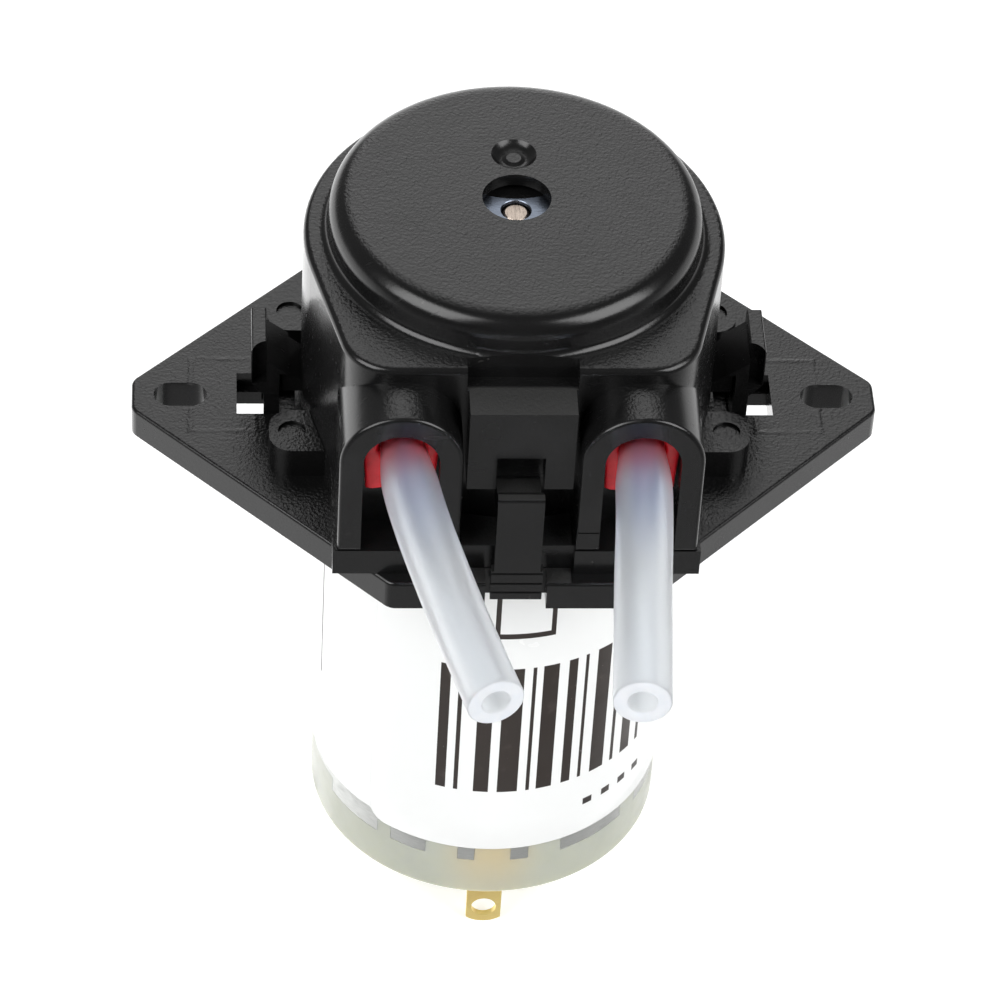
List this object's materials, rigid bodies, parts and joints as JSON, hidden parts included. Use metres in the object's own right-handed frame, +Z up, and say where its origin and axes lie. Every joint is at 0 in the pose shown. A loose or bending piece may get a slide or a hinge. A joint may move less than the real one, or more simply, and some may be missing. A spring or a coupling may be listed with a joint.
{
  "type": "peristaltic pump",
  "caption": "Small panel-mounted peristaltic pump: round, latched roller head with two tube stubs over a flanged plate and a round DC motor.",
  "frame": {"origin": "centre of the mounting plate's underside, on the motor axis, midway between the two mounting slots", "axes": "+Z up the motor axis towards the pump head's cap; +X along the plate's long side, through the mounting slots; -Y is the way the two tube ends point"},
  "size_m": [0.0562, 0.0629, 0.0686],
  "materials": {
    "black_plastic": "moulded black plastic with a fine leathery grain, satin sheen",
    "red_collar": "bright red moulded plastic, satin",
    "silicone_tube": "milky translucent silicone, satin",
    "white_plastic": "bluish white acetal, satin",
    "steel": "bright ground steel",
    "polished_steel": "polished stainless steel, mirror bright, bluish",
    "can_steel": "zinc-plated drawn steel",
    "label_paper": "glossy white film label with plain dark bars",
    "endbell_nylon": "greenish white nylon, slightly translucent",
    "bronze": "oiled sintered bronze",
    "ferrite": "dark grey ferrite, matte",
    "terminal_brass": "stamped brass, bright",
    "carbon": "graphite, matte",
    "lamination_steel": "stacked silicon steel, dull",
    "copper_wire": "enamelled copper wire",
    "commutator_copper": "turned copper, bright",
    "washer_fibre": "brown fibre washer"
  },
  "bodies": {
    "pump_body": {"mounting_plate": "black_plastic", "head_base": "black_plastic", "pump_head_housing": "black_plastic", "left_tube_collar": "red_collar", "right_tube_collar": "red_collar", "pump_tube": "silicone_tube", "tube_end_left": "silicone_tube", "tube_end_right": "silicone_tube", "motor_can": "can_steel", "motor_label": "label_paper", "motor_endbell": "endbell_nylon", "front_bearing": "bronze", "rear_bearing": "bronze", "motor_screws": "steel", "right_magnet": "ferrite", "left_magnet": "ferrite", "magnet_clip": "steel", "front_terminal": "terminal_brass", "rear_terminal": "terminal_brass", "front_brush": "carbon", "rear_brush": "carbon", "front_brush_arm": "terminal_brass", "rear_brush_arm": "terminal_brass"},
    "motor_rotor": {"motor_shaft": "steel", "drive_sleeve": "steel", "armature_core": "lamination_steel", "armature_windings": "copper_wire", "commutator": "commutator_copper", "shaft_washers": "washer_fibre"},
    "roller_cage": {"cage_lower": "black_plastic", "cage_upper": "black_plastic", "hub_plate": "polished_steel", "roller_pins": "steel"},
    "left_latch": {"left_latch": "black_plastic"},
    "right_latch": {"right_latch": "black_plastic"},
    "front_latch": {"front_latch": "black_plastic"},
    "roller_1": {"roller_1": "white_plastic"},
    "roller_2": {"roller_2": "white_plastic"},
    "roller_3": {"roller_3": "white_plastic"}
  },
  "joints": [
    {"name": "motor_spin", "type": "hinge", "parent": "pump_body", "child": "motor_rotor", "pos_m": [0, 0, 0], "axis": [0, 0, 1], "continuous": true},
    {"name": "cage_spin", "type": "hinge", "parent": "pump_body", "child": "roller_cage", "pos_m": [0, 0, 0], "axis": [0, 0, 1], "continuous": true},
    {"name": "roller_1_spin", "type": "hinge", "parent": "roller_cage", "child": "roller_1", "pos_m": [0, 0.0062, 0], "axis": [0, 0, 1], "continuous": true},
    {"name": "roller_2_spin", "type": "hinge", "parent": "roller_cage", "child": "roller_2", "pos_m": [-0.00537, -0.0031, 0], "axis": [0, 0, 1], "continuous": true},
    {"name": "roller_3_spin", "type": "hinge", "parent": "roller_cage", "child": "roller_3", "pos_m": [0.00537, -0.0031, 0], "axis": [0, 0, 1], "continuous": true},
    {"name": "left_latch_flex", "type": "hinge", "parent": "pump_body", "child": "left_latch", "pos_m": [-0.01767, 0, 0.0012], "axis": [0, -1, 0], "range_deg": [0, 8], "stiffness_Nm_per_rad": 0.02},
    {"name": "right_latch_flex", "type": "hinge", "parent": "pump_body", "child": "right_latch", "pos_m": [0.01767, 0, 0.0012], "axis": [0, 1, 0], "range_deg": [0, 8], "stiffness_Nm_per_rad": 0.02},
    {"name": "front_latch_flex", "type": "hinge", "parent": "pump_body", "child": "front_latch", "pos_m": [0, -0.0195, 0.0012], "axis": [1, 0, 0], "range_deg": [0, 8], "stiffness_Nm_per_rad": 0.02}
  ],
  "couplings": [
    {"joint": "cage_spin", "follows": "motor_spin", "ratio": 0.1129},
    {"joint": "roller_1_spin", "follows": "motor_spin", "ratio": -0.25874},
    {"joint": "roller_2_spin", "follows": "motor_spin", "ratio": -0.25874},
    {"joint": "roller_3_spin", "follows": "motor_spin", "ratio": -0.25874}
  ]
}
